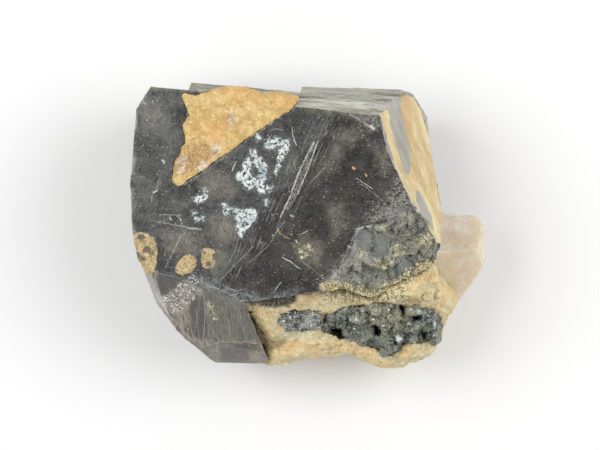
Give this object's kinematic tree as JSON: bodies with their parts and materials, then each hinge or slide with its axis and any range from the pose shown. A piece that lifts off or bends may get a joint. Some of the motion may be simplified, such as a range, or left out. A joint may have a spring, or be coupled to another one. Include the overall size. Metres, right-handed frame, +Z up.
{
  "type": "scheelite crystal",
  "caption": "Dark smoky scheelite crystal specimen on a flat broken base, with cream matrix, a quartz crystal, green chlorite and an ochre clay crust.",
  "frame": {"origin": "on the flat broken base of the main crystal, under the middle of its main face", "axes": "+Z up from the base to the main face, +X towards the quartz crystal and the specimen's longest extent, +Y towards the stepped back slope"},
  "size_m": [0.0437, 0.0354, 0.0232],
  "materials": {
    "scheelite": "smoky brown-black vitreous crystal, mottled, scratched, with white and ochre stains",
    "ochre_clay": "matt granular clay with a few glassy grains",
    "feldspar": "matt cream granular rock",
    "chlorite": "dark green-black crystalline, glittering",
    "mica": "gray flakes with a silky sparkle",
    "quartz": "peach translucent crystal"
  },
  "bodies": {
    "root": {"scheelite_crystal": "scheelite", "ochre_crust": "ochre_clay", "feldspar_matrix": "feldspar", "chlorite_mass": "chlorite", "mica_lens": "mica", "quartz_crystal": "quartz"}
  },
  "joints": []
}
